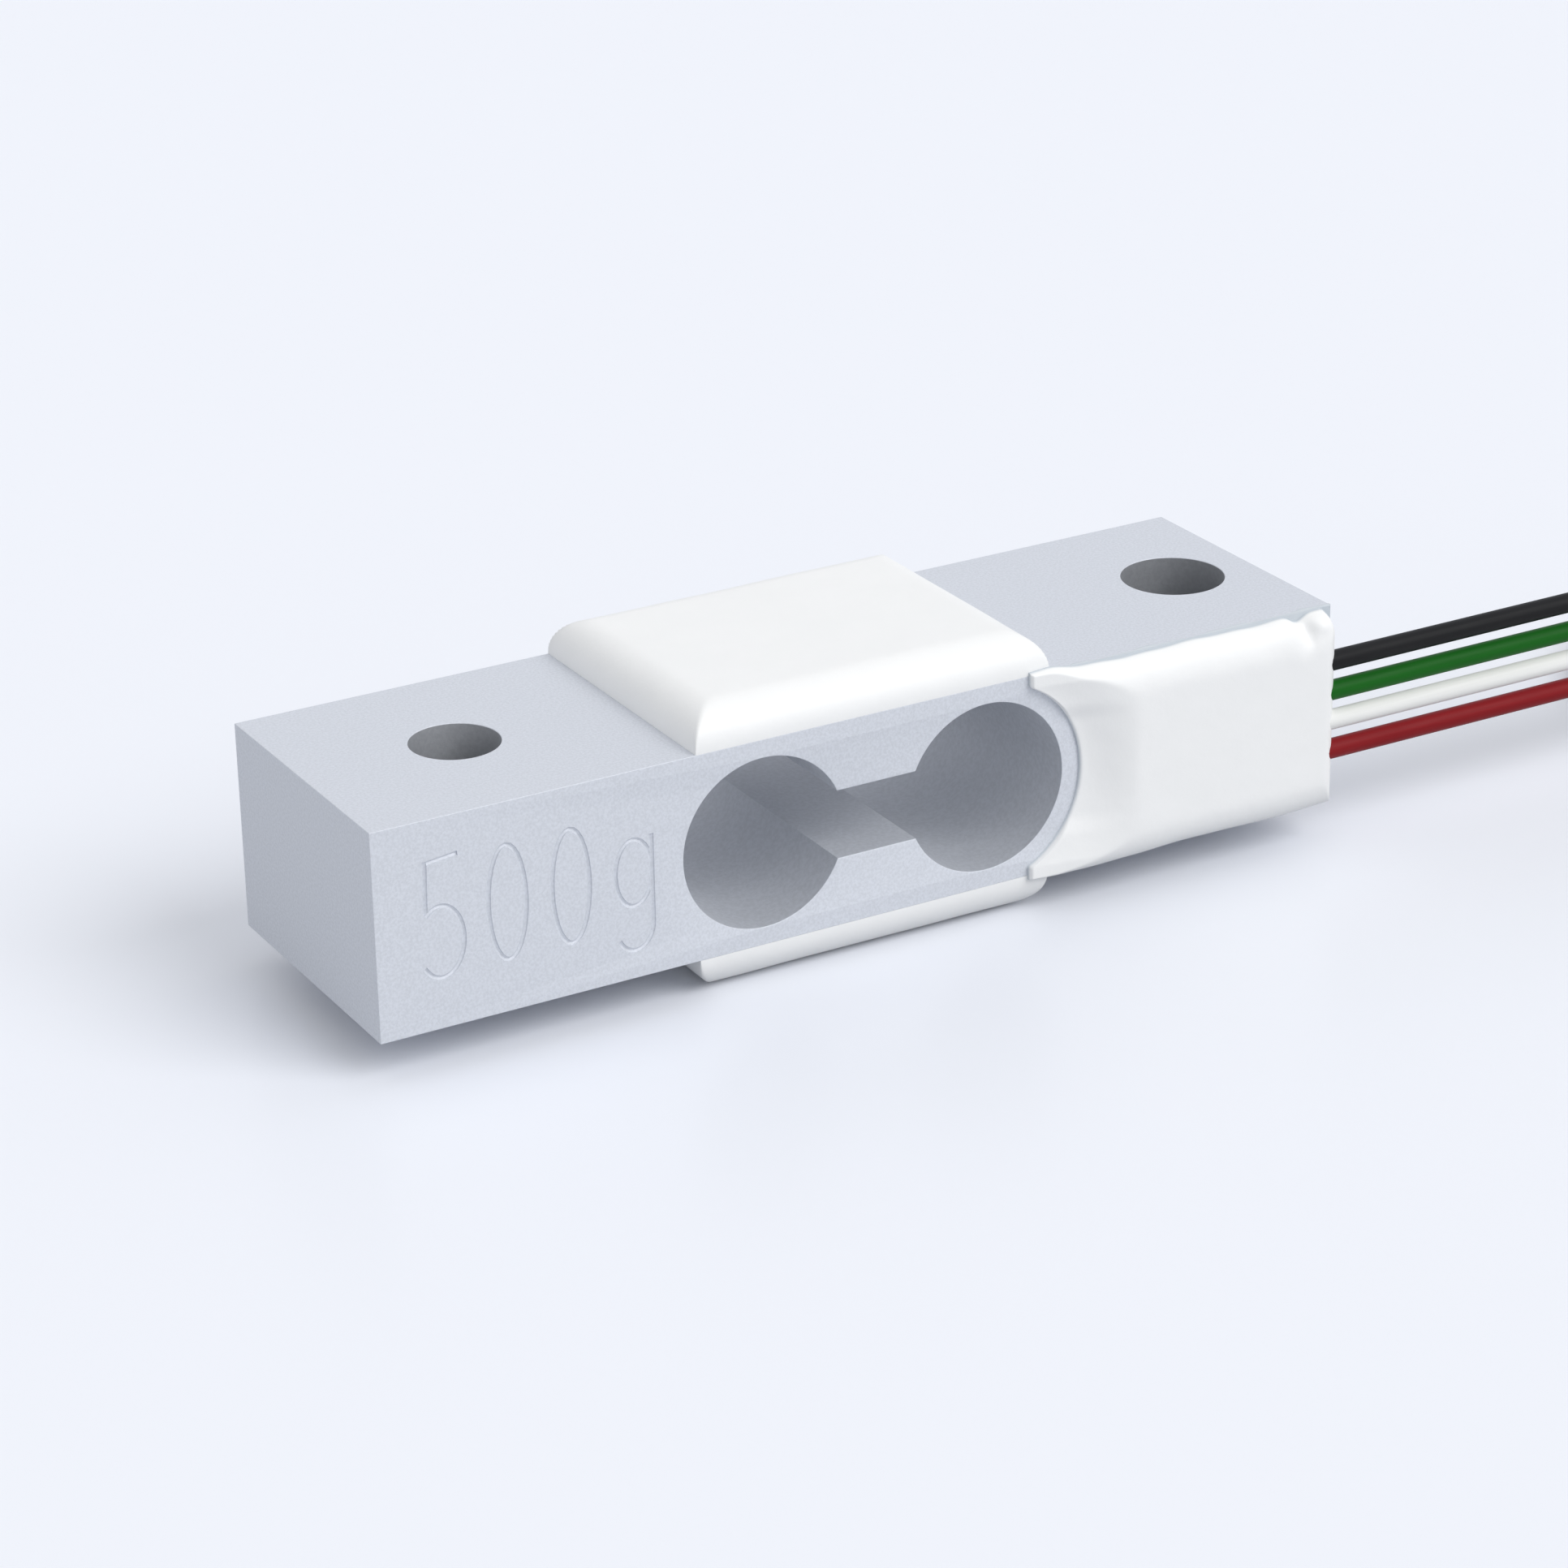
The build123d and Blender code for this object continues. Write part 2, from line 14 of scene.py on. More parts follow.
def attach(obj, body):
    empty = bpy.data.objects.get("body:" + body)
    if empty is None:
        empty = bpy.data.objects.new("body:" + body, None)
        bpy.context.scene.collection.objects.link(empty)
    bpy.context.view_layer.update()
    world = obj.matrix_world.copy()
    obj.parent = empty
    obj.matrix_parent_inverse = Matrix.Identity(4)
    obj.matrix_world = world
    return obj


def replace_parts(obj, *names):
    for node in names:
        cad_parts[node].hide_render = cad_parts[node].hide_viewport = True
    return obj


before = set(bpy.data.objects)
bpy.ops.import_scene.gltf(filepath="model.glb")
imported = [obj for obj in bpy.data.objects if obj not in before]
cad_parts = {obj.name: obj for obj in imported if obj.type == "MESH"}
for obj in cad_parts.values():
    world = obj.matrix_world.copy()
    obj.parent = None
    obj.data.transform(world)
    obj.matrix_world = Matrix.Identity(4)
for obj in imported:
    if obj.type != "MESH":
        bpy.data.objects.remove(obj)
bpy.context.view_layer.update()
mm = 0.001


# Studio: a pale satin table under an even, slightly blue sky and one large soft lamp at the front right. The camera
# stands where the photograph was taken from.
class Shade:
    """One output of a material's nodes. Sums and products on it add Math nodes; node() adds a node of any kind."""

    def __init__(self, tree, socket=None):
        self.tree = tree
        self.socket = socket

    def node(self, kind, settings, sockets, output=0):
        made = self.tree.nodes.new("ShaderNode" + kind)
        for name, value in settings.items():
            setattr(made, name, value)
        for name, value in sockets.items():
            if isinstance(value, Shade):
                self.tree.links.new(value.socket, made.inputs[name])
            else:
                made.inputs[name].default_value = value
        return Shade(self.tree, made.outputs[output] if made.outputs else None)

    def math(self, operation, first, second):
        return self.node("Math", {"operation": operation}, {0: first, 1: second})

    def __add__(self, other):
        return self.math("ADD", self, other)

    __radd__ = __add__

    def __mul__(self, other):
        return self.math("MULTIPLY", self, other)

    __rmul__ = __mul__

    def step(self, low, high):
        """0 below low, 1 above high and a soft rise between them."""
        return self.node("MapRange", {"interpolation_type": "SMOOTHSTEP"}, {"Value": self, 1: low, 2: high})

    def grain(self, scale, detail=2.0, roughness=0.5):
        """Noise over the points that this output gives, scale grains to the millimetre."""
        sockets = {"Vector": self, "Scale": scale, "Detail": detail, "Roughness": roughness}
        return self.node("TexNoise", {}, sockets)

    def tint(self, low, high):
        """Goes from the colour low to the colour high with this output."""
        low, high = [c if isinstance(c, Shade) else (*c, 1) for c in (low, high)]
        return self.node("Mix", {"data_type": "RGBA"}, {0: self, 6: low, 7: high}, 2)

    def surface(self, sockets, bump=None, height=0.0):
        """Ends the material in one Principled shader, with bump, that many millimetres high, on its normal."""
        if bump is not None:
            raised = self.node("Bump", {}, {"Strength": 1.0, "Distance": height * mm, "Height": bump})
            sockets = {**sockets, "Normal": raised}
        self.node("OutputMaterial", {}, {"Surface": self.node("BsdfPrincipled", {}, sockets)})


def finish(name):
    """A new material, and the Shade of its points in millimetres."""
    material = bpy.data.materials.new(name)
    material.use_nodes = True
    material.node_tree.nodes.clear()
    place = Shade(material.node_tree).node("TexCoord", {}, {}, "Object")
    return material, place.node("VectorMath", {"operation": "SCALE"}, {0: place, "Scale": 1 / mm})


def piece(name, points, faces, material, smooth=True):
    """A mesh object from points in millimetres."""
    mesh = bpy.data.meshes.new(name)
    mesh.from_pydata([Vector(p) * mm for p in points], [], faces)
    mesh.polygons.foreach_set("use_smooth", [smooth] * len(mesh.polygons))
    mesh.materials.append(material)
    made = bpy.data.objects.new(name, mesh)
    bpy.context.collection.objects.link(made)
    return made


def background_rays(shade):
    """1 for the rays that show the background: the camera's own, and those in metal and through glass."""
    kinds = [shade.node("LightPath", {}, {}, f"Is {kind} Ray") for kind in ("Camera", "Glossy", "Transmission")]
    seen = shade.math("MAXIMUM", kinds[0], kinds[1])
    return shade.math("MAXIMUM", seen, kinds[2])


table_paint, place = finish("satin table")
floor_colour = background_rays(place).tint((0.50, 0.52, 0.56), (0.905, 0.925, 0.985))
place.surface({"Base Color": floor_colour, "Roughness": 0.3, "Specular IOR Level": 0.2})
half_table = 900.0
corners = [(-half_table, -half_table, 0), (half_table, -half_table, 0), (half_table, half_table, 0)]
table = piece("table", corners + [(-half_table, half_table, 0)], [(0, 1, 2, 3)], table_paint, smooth=False)

sky = bpy.data.worlds.new("even sky")
bpy.context.scene.world = sky
sky.use_nodes = True
sky.node_tree.nodes.clear()
air = Shade(sky.node_tree)
glow = air.node("Background", {}, {"Color": (0.975, 0.987, 1.0, 1), "Strength": 0.67})
backdrop = air.node("Background", {}, {"Color": (0.86, 0.885, 0.96, 1), "Strength": 1.0})
both = air.node("MixShader", {}, {0: background_rays(air), 1: glow, 2: backdrop})
air.node("OutputWorld", {}, {"Surface": both})

lamp = bpy.data.objects.new("soft lamp", bpy.data.lights.new("soft lamp", "SUN"))
lamp.data.energy = 1.5
lamp.data.angle = radians(40)
lamp.rotation_euler = Vector((0.35, -0.65, 0.66)).to_track_quat("Z", "Y").to_euler()
bpy.context.collection.objects.link(lamp)

azimuth, elevation, roll = radians(-29.445), radians(23.563), radians(-0.984)
back = Vector((sin(azimuth) * cos(elevation), -cos(azimuth) * cos(elevation), sin(elevation)))
level_right = Vector((cos(azimuth), sin(azimuth), 0))
level_up = back.cross(level_right)
right = cos(roll) * level_right + sin(roll) * level_up
up = cos(roll) * level_up - sin(roll) * level_right
eye = (Vector((-0.476, 0, 3.597)) + back * 127.45) * mm
camera = bpy.data.objects.new("camera", bpy.data.cameras.new("camera"))
camera.data.lens = 105.03
camera.data.sensor_width = 36.0
camera.data.clip_start = 0.001
camera.matrix_world = Matrix.Translation(eye) @ Matrix((right, up, back)).transposed().to_4x4()
bpy.context.collection.objects.link(camera)
bpy.context.scene.camera = camera
bpy.context.scene.view_settings.view_transform = "Standard"

# Bar: one block of aluminium, milled square, with two cross bores joined by a slot so that four thin webs bend, two
# screw holes from above, and its rating cut shallowly by hand into the wired side. Blasted to a fine matte grain.
bar_length, bar_width, bar_bottom, bar_top = 30.0, 8.5, 1.15, 7.15
bar_end, side_face, bar_middle = bar_length / 2, -bar_width / 2, (bar_bottom + bar_top) / 2
bore_x, bore_radius, slot_height = 3.5, 2.475, 2.0
load_hole_x, load_hole_radius = -10.5, 1.25
fixed_hole_x, fixed_hole_radius = 12.5, 1.5
broken_edge = 0.02


def aluminium(name, light, grains):
    """Aluminium with a fine even grain, its colour scaled by light; the low values given for the bore and hole walls
    are painted shade.
    """
    material, place = finish(name)
    pits = place.grain(grains, 3.0, 0.6)
    low, high = [[light * c for c in colour] for colour in ((0.685, 0.707, 0.750), (0.765, 0.789, 0.838))]
    colour = pits.step(0.3, 0.7).tint(low, high)
    place.surface({"Base Color": colour, "Metallic": 0.42, "Roughness": 0.60 + 0.12 * pits}, pits, 0.005)
    return material


# The bore walls and the screw hole walls are darker copies of the blasted aluminium: painted shade inside the bores and
# holes.
blasted = aluminium("blasted aluminium", 0.94, 13.0)
bore_wall_shade = aluminium("bored aluminium", 0.80, 8.0)
hole_wall_shade = aluminium("drilled aluminium", 0.45, 8.0)


def bar_outline(inset):
    """The bar's outline seen from the wired side, drawn in by inset, with its corners just broken."""
    points = []
    half_x, half_z = bar_end - inset, (bar_top - bar_bottom) / 2 - inset
    round_radius = max(broken_edge * 1.2 - inset, 0.008)
    for quarter, (sx, sz) in enumerate(((1, 1), (-1, 1), (-1, -1), (1, -1))):
        for step in range(4):
            angle = radians(90 * quarter + 30 * step)
            x = sx * (half_x - round_radius) + round_radius * cos(angle)
            z = sz * (half_z - round_radius) + round_radius * sin(angle)
            points.append((x, bar_middle + z))
    return points


def bore_outline(inset):
    """The two bores and the slot between them, opened out by inset."""
    radius = bore_radius + inset
    slot_angle = asin((slot_height / 2 + inset) / radius)
    points = []
    for side, start in ((1, -pi + slot_angle), (-1, slot_angle)):
        for step in range(97):
            angle = start + step / 96 * 2 * (pi - slot_angle)
            points.append((side * bore_x + radius * cos(angle), bar_middle + radius * sin(angle)))
    return points


def ring(mesh, outline, y):
    """New points of a mesh along an outline, at one distance from the bar's middle plane."""
    return [mesh.verts.new(Vector((x, y, z)) * mm) for x, z in outline]


solid = bmesh.new()
depths = []
for step in range(4):
    angle = radians(30 * step)
    depths.append((broken_edge * (1 - sin(angle)), bar_width / 2 - broken_edge * (1 - cos(angle))))
sections = [(inset, -y) for inset, y in depths] + [(inset, y) for inset, y in reversed(depths)]
for outline in (bar_outline, bore_outline):
    rings = [ring(solid, outline(inset), y) for inset, y in sections]
    for near, far in zip(rings, rings[1:]):
        for i in range(len(near)):
            solid.faces.new((near[i - 1], near[i], far[i], far[i - 1]))
    if outline is bar_outline:
        outer_rings = rings
for end in (0, -1):
    rim = []
    for verts in (outer_rings[end], rings[end]):
        for a, b in zip(verts, verts[1:] + verts[:1]):
            rim.append(solid.edges.get((a, b)))
    bmesh.ops.triangle_fill(solid, edges=rim, use_beauty=True, use_dissolve=False)
bmesh.ops.recalc_face_normals(solid, faces=solid.faces)
block = bpy.data.meshes.new("bar")
solid.to_mesh(block)
solid.free()
bar = bpy.data.objects.new("bar", block)
bpy.context.collection.objects.link(bar)


def drill(name, x, radius):
    """A cutter for a screw hole from above, flared at both ends to break the hole's edges."""
    flare = broken_edge
    profile = [(radius + 2 * flare, bar_top + flare), (radius + flare * 0.3, bar_top - flare * 0.3)]
    profile += [(radius, bar_top - flare), (radius, bar_bottom + flare)]
    profile += [(radius + flare * 0.3, bar_bottom + flare * 0.3), (radius + 2 * flare, bar_bottom - flare)]
    count = 96
    points = []
    for r, z in profile:
        points += [(x + r * cos(2 * pi * i / count), r * sin(2 * pi * i / count), z) for i in range(count)]
    faces = []
    for level in range(len(profile) - 1):
        for i in range(count):
            after = (i + 1) % count
            low = level * count
            faces.append((low + i, low + count + i, low + count + after, low + after))
    faces.append(tuple(range(count)))
    faces.append(tuple(reversed(range((len(profile) - 1) * count, len(profile) * count))))
    return piece(name, points, faces, blasted)


def round_line(name, radius, rounding):
    """A round line with closed ends, its radius in millimetres, still without its points."""
    line = bpy.data.curves.new(name, "CURVE")
    line.dimensions = "3D"
    line.bevel_depth = radius * mm
    line.bevel_resolution = rounding
    line.use_fill_caps = True
    return line


def line_mesh(name, line):
    """A mesh object in the shape of a round line."""
    drawn = bpy.data.objects.new(name, line)
    mesh = bpy.data.meshes.new_from_object(drawn)
    bpy.data.objects.remove(drawn)
    made = bpy.data.objects.new(name, mesh)
    bpy.context.collection.objects.link(made)
    return made


def stroke(name, points, closed=False):
    """A cutter for one stroke of the rating: a round bead that lies half in the wired side."""
    line = round_line(name, stroke_radius, 2)
    run = line.splines.new("POLY")
    run.points.add(len(points) - 1)
    for knot, (x, z) in zip(run.points, points):
        knot.co = (x * mm, (side_face - stroke_lift) * mm, z * mm, 1)
    run.use_cyclic_u = closed
    return line_mesh(name, line)


def bend(centre, half_width, half_height, start, turn, steps=28):
    """Points of an upright elliptical arc, from the angle start through turn, in degrees."""
    angles = [radians(start + turn * i / steps) for i in range(steps + 1)]
    return [(centre[0] + half_width * cos(a), centre[1] + half_height * sin(a)) for a in angles]


first_mark, mark_pitch, half_mark = -13.05, 1.86, 0.55
mark_height, mark_top = 3.28, 5.99
stroke_radius, stroke_lift = 0.078, 0.018
five_x, g_x = first_mark, first_mark + 3 * mark_pitch
strokes = [
    stroke("five top", [(five_x - 0.40, mark_top - 0.06), (five_x + 0.49, mark_top + 0.04)]),
    stroke("five stem", [(five_x - 0.46, mark_top), (five_x - 0.50, mark_top - 1.50)]),
    stroke("five bowl", bend((five_x - 0.08, mark_top - 2.36), 0.66, 1.02, 128, -268)),
]
for i in (1, 2):
    centre = (first_mark + i * mark_pitch, mark_top - 0.06 - mark_height / 2)
    strokes.append(stroke(f"nought {i}", bend(centre, half_mark, mark_height / 2, 90, 360)[:-1], True))
strokes.append(stroke("gram bowl", bend((g_x, mark_top - 1.77), half_mark, 0.96, 90, 360)[:-1], True))
hook = bend((g_x, mark_top - 3.3), half_mark, 0.72, 0, -150)
strokes.append(stroke("gram stem", [(g_x + half_mark, mark_top - 0.75)] + hook))

cutters = [drill("load hole", load_hole_x, load_hole_radius), drill("fixed hole", fixed_hole_x, fixed_hole_radius)]
cutters += strokes
for cutter in cutters:
    cut = bar.modifiers.new(cutter.name, "BOOLEAN")
    cut.object = cutter
    cut.operation = "DIFFERENCE"
    cut.solver = "EXACT"
bpy.context.view_layer.update()
cut_mesh = bpy.data.meshes.new_from_object(bar.evaluated_get(bpy.context.evaluated_depsgraph_get()))
bar.modifiers.clear()
bar.data = cut_mesh
for cutter in cutters:
    bpy.data.objects.remove(cutter)
cut_mesh.materials.clear()
for material in (blasted, bore_wall_shade, hole_wall_shade):
    cut_mesh.materials.append(material)
# Faces inside the screw holes get the darkest copy and faces inside the bores the darker one: painted shade.
for face in cut_mesh.polygons:
    x, y, z = face.center / mm
    face.use_smooth = True
    face.material_index = 0
    inside_bar = abs(y) < bar_width / 2 - 0.03 and abs(z - bar_middle) < (bar_top - bar_bottom) / 2 - 0.03
    from_load_hole = sqrt((x - load_hole_x) ** 2 + y**2) - load_hole_radius
    from_fixed_hole = sqrt((x - fixed_hole_x) ** 2 + y**2) - fixed_hole_radius
    if inside_bar and min(from_load_hole, from_fixed_hole) < 0.02:
        face.material_index = 2
    elif inside_bar and abs(x) < bore_x + bore_radius + 0.02:
        face.material_index = 1
cut_mesh.set_sharp_from_angle(angle=radians(34))
weigh = bar.modifiers.new("flat faces", "WEIGHTED_NORMAL")
weigh.keep_sharp = True
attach(bar, "root")
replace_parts(bar, "beam")

# Strain gauges: an etched foil grid on an amber film over each bore, bonded to the bar, with solder dots on the
# tabs. Thin enamelled copper wires run from them over the bar's edge to the terminal board.
film_paint, place = finish("amber film")
fibre = place.grain(3.0, 2.0)
place.surface({"Base Color": fibre.tint((0.50, 0.25, 0.05), (0.66, 0.38, 0.10)), "Roughness": 0.28, "Coat Weight": 0.5})
foil_paint, place = finish("etched foil")
rolled = place.node("Mapping", {}, {"Vector": place, "Scale": (0.6, 9.0, 9.0)}).grain(2.0, 3.0)
place.surface({"Base Color": rolled.tint((0.60, 0.55, 0.47), (0.76, 0.71, 0.62)), "Metallic": 1.0, "Roughness": 0.34})
solder_paint, place = finish("flowed solder")
flow = place.grain(2.4, 3.0)
place.surface(
    {"Base Color": flow.tint((0.58, 0.59, 0.61), (0.78, 0.79, 0.81)), "Metallic": 1.0, "Roughness": 0.22 + 0.2 * flow},
    flow,
    0.02,
)
enamel_paint, place = finish("enamelled copper")
coat = place.grain(1.5, 2.0)
place.surface({"Base Color": coat.tint((0.42, 0.13, 0.04), (0.56, 0.21, 0.08)), "Roughness": 0.24, "Coat Weight": 0.8})


def dress(names, material):
    """Gives CAD nodes their material."""
    for name in names:
        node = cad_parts[name]
        node.data.materials.clear()
        node.data.materials.append(material)


spots = [f"{side}_{end}" for side in ("top", "bottom") for end in ("left", "right")]
dress([f"gauge_carrier_{spot}" for spot in spots], film_paint)
dress([f"gauge_foil_{spot}" for spot in spots], foil_paint)
dress(["gauge_solder_top", "gauge_solder_bottom"], solder_paint)
nets = ["top_signal_minus", "top_signal_plus", "top_supply_minus"]
nets += ["bottom_signal_plus", "bottom_signal_minus", "bottom_supply_plus"]
dress([f"gauge_wire_{net}" for net in nets] + ["gauge_link_top", "gauge_link_bottom"], enamel_paint)

# Terminal board: a strip of glass-cloth laminate glued to the wired side, with etched copper lands, where the
# gauge wires meet the stripped ends of the four leads under solder.
laminate_paint, place = finish("glass laminate")
cloth = place.node("TexWave", {}, {"Vector": place, "Scale": 4.0, "Distortion": 0.4})
place.surface({"Base Color": cloth.tint((0.10, 0.26, 0.10), (0.16, 0.36, 0.15)), "Roughness": 0.38}, cloth, 0.006)
copper_paint, place = finish("etched copper")
tarnish = place.grain(2.0, 3.0)
copper = tarnish.tint((0.62, 0.30, 0.17), (0.83, 0.47, 0.30))
place.surface({"Base Color": copper, "Metallic": 1.0, "Roughness": 0.25 + 0.2 * tarnish})
tinned_paint, place = finish("tinned copper")
tin = place.grain(5.0, 3.0)
tin_colour = tin.tint((0.60, 0.60, 0.61), (0.80, 0.80, 0.82))
place.surface({"Base Color": tin_colour, "Metallic": 1.0, "Roughness": 0.2 + 0.25 * tin}, tin, 0.006)
dress(["terminal_board"], laminate_paint)
dress(["board_lands"], copper_paint)
dress(["board_solder"], solder_paint)

# Wires: four thin stranded wires in soft extruded insulation, soldered to the board, out through the sealant in a
# row one above the other, then wound with the others into a hank. Each is one line from its solder to its tip.
wire_diameter, wire_pitch, wire_y, wire_inner_x = 0.6, 0.91, side_face - 0.32, 12.6
row_end, stations = 10.6, (13.6, 16.8, 19.6, 21.5, 22.8)
hank_inner, hank_shift, run_places = 2.3, 3.6, (-4.4, -2.2, 0, 2.2, 4.4)
hank_left, hank_right, hank_y, hank_middle = 34.0, 46.0, wire_y - hank_inner + hank_shift, 40.0
bundle_pitch, hank_waist, hank_lift, hank_spread = 1.25, 1.3, 0.25, 0.1

wires = {
    "black": {
        "place": 1.5,
        "outward": 0.31,
        "level": 0.93,
        "lead": [(0.57, 4.36), (1.37, 2.58), (2.17, 1.38), (2.6, 0.96), (2.78, 0.93)],
        "tail": [(31.0, 7.66, 0.93), (32.7, 7.78, 0.93), (34.8, 8.13, 0.66), (36.6, 8.25, 0.31), (38.0, 8.25, 0.3)],
        "colours": ((0.008, 0.008, 0.009), (0.016, 0.016, 0.017)),
    },
    "green": {
        "place": 0.5,
        "outward": -0.31,
        "level": 0.93,
        "lead": [(0.03, 3.84), (0.73, 2.58), (1.53, 1.38), (1.97, 0.96), (2.16, 0.93)],
        "tail": [(31.0, 7.04, 0.93), (32.8, 6.8, 0.93), (34.9, 5.92, 0.62), (36.6, 5.4, 0.31), (38.2, 5.15, 0.3)],
        "colours": ((0.005, 0.090, 0.006), (0.009, 0.130, 0.010)),
    },
    "white": {
        "place": -0.5,
        "outward": -0.31,
        "level": 0.31,
        "lead": [(0.03, 3.12), (0.73, 1.9), (1.53, 0.66), (1.97, 0.31), (2.16, 0.31)],
        "tail": [(31.0, 7.04, 0.31), (33.0, 6.9, 0.31), (35.2, 6.62, 0.3), (37.3, 6.35, 0.3)],
        "colours": ((0.80, 0.80, 0.78), (0.90, 0.90, 0.88)),
    },
    "red": {
        "place": -1.5,
        "outward": 0.31,
        "level": 0.31,
        "lead": [(0.57, 2.6), (1.37, 1.9), (2.17, 0.66), (2.6, 0.31), (2.78, 0.31)],
        "tail": [(31.0, 7.66, 0.31), (33.0, 7.58, 0.31), (35.2, 7.3, 0.3), (37.4, 7.2, 0.3)],
        "colours": ((0.190, 0.007, 0.010), (0.265, 0.013, 0.016)),
    },
}


def hank_run(distance, level, upper, places=run_places):
    """Points of one run of the hank, distance from its centre line and drawn in and lifted at the tied waist."""
    points = []
    for along in places if upper else reversed(places):
        waist = hank_waist * (1 - (along / 6) ** 2)
        lift = hank_lift * min(1, max(0, 1 - (abs(along) - 1) / 3.4))
        side = 1 if upper else -1
        points.append((hank_middle + along, hank_y + side * (distance - waist), level + lift))
    return points


def hank_fold(centre, radius, level, start):
    """Eight points of a half turn, clockwise from the angle start, outside the round line that they give."""
    reach = radius / cos(radians(11.25))
    angles = [radians(start - 11.25 - 22.5 * i) for i in range(8)]
    return [(centre[0] + reach * cos(a), centre[1] + reach * sin(a), level) for a in angles]


def wire_route(wire):
    """The wire's points: its straight lead, the hank's three turns from the inside out, and its free tail."""
    route = [(x, wire_y, wire["height"]) for x in (wire_inner_x, bar_end + row_end - 3.0, bar_end + row_end)]
    route += [(bar_end + x, wire_y + y, z) for x, (y, z) in zip(stations, wire["lead"])]
    outward, level = wire["outward"], wire["level"]
    for turn in range(3):
        distance = hank_inner + turn * bundle_pitch + outward
        route += hank_run(distance, level, True, run_places[2:] if turn == 0 else run_places)
        route += hank_fold((hank_right + turn * hank_spread, hank_y), distance, level, 90)
        route += hank_run(distance, level, False)
        far = (hank_left - turn * hank_spread, hank_y + bundle_pitch / 2)
        route += hank_fold(far, distance + bundle_pitch / 2, level, 270)
    route += hank_run(hank_inner + 3 * bundle_pitch + outward, level, True)
    return route + [(bar_end + x, wire_y + y, z) for x, y, z in wire["tail"]]


for colour, wire in wires.items():
    insulation, place = finish(f"{colour} insulation")
    drawn = place.node("Mapping", {}, {"Vector": place, "Scale": (0.25, 7.0, 7.0)}).grain(1.6, 3.0)
    gloss = place.grain(0.8, 2.0)
    wire_look = {"Base Color": drawn.tint(*wire["colours"]), "Roughness": 0.40 + 0.14 * gloss}
    place.surface({**wire_look, "Specular IOR Level": 0.12}, drawn, 0.004)
    line = round_line(f"{colour} wire", wire_diameter / 2, 5)
    line.resolution_u = 8
    line.materials.append(insulation)
    run = line.splines.new("NURBS")
    wire["height"] = bar_middle + 0.06 + wire["place"] * wire_pitch
    points = wire_route(wire)
    run.points.add(len(points) - 1)
    for knot, point in zip(run.points, points):
        knot.co = (*(Vector(point) * mm), 1)
    run.order_u = 3
    run.use_endpoint_u = True
    wire["object"] = bpy.data.objects.new(f"{colour}_wire", line)
    bpy.context.collection.objects.link(wire["object"])
    wire["end"], wire["way"] = Vector(points[-1]), (Vector(points[-1]) - Vector(points[-2])).normalized()
dress([f"wire_{colour}_inner_end" for colour in wires], tinned_paint)

# Tips: the stripped end of each wire, seven fine copper strands twisted together and tinned so that they can be
# soldered or clamped without fraying.
tip_length, strand_radius, lay_length, strand_steps = 3.0, 0.05, 1.7, 48
for colour, wire in wires.items():
    across = wire["way"].cross(Vector((0, 0, 1))).normalized()
    over = across.cross(wire["way"])
    strands = round_line(f"{colour} tip", strand_radius, 2)
    for strand in range(7):
        run = strands.splines.new("POLY")
        run.points.add(strand_steps)
        for i, knot in enumerate(run.points):
            along = tip_length * i / strand_steps
            turn = 2 * pi * (along / lay_length + strand / 6)
            out = 0 if strand == 6 else 2 * strand_radius
            point = wire["end"] + wire["way"] * along + (across * cos(turn) + over * sin(turn)) * out
            knot.co = (*(point * mm), 1)
    wire["tip"] = line_mesh(f"{colour}_wire_tip", strands)
    mesh = wire["tip"].data
    mesh.polygons.foreach_set("use_smooth", [True] * len(mesh.polygons))
    mesh.materials.clear()
    mesh.materials.append(tinned_paint)
    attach(wire["tip"], "root")
    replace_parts(wire["tip"], f"wire_{colour}_tip")

# Tie: a flat plastic-coated wire wrapped once around the hank's waist, its two ends twisted together on top. It
# keeps the turns of the four wires together.
tie_paint, place = finish("tie plastic")
mould = place.grain(1.2, 2.0)
place.surface({"Base Color": mould.tint((0.80, 0.80, 0.77), (0.90, 0.90, 0.88)), "Roughness": 0.42}, mould, 0.01)
tie_width, wrap_half_y, wrap_half_z, wrap_radius = 2.0, 4.875, 0.745, 0.375
wrap_y, wrap_z = hank_y + bundle_pitch / 2, 0.87


def tie_section(half_width, samples=11):
    """The tie's section: thin wings either side of its wire. Each point is its place across and its height."""
    upper = []
    for i in range(samples):
        across = half_width * (2 * i / (samples - 1) - 1)
        upper.append((across, 0.045 + 0.078 * exp(-((across / 0.17) ** 2))))
    return upper + [(across, -height) for across, height in reversed(upper)]


def tie_strip(stations, half_width, closed):
    """A strip swept through stations, each its middle, the way across it and the way out of it."""
    section = tie_section(half_width)
    size = len(section)
    points = [middle + a * across + h * out for middle, across, out in stations for a, h in section]
    faces = []
    for span in range(len(stations) if closed else len(stations) - 1):
        here, there = span * size, (span + 1) % len(stations) * size
        for i in range(size):
            after = (i + 1) % size
            faces.append((here + i, there + i, there + after, here + after))
    if not closed:
        faces += [tuple(range(size)), tuple(reversed(range((len(stations) - 1) * size, len(stations) * size)))]
    return points, faces


def ease(t):
    """0 below 0, 1 above 1 and a soft rise between them."""
    t = min(1, max(0, t))
    return t * t * (3 - 2 * t)


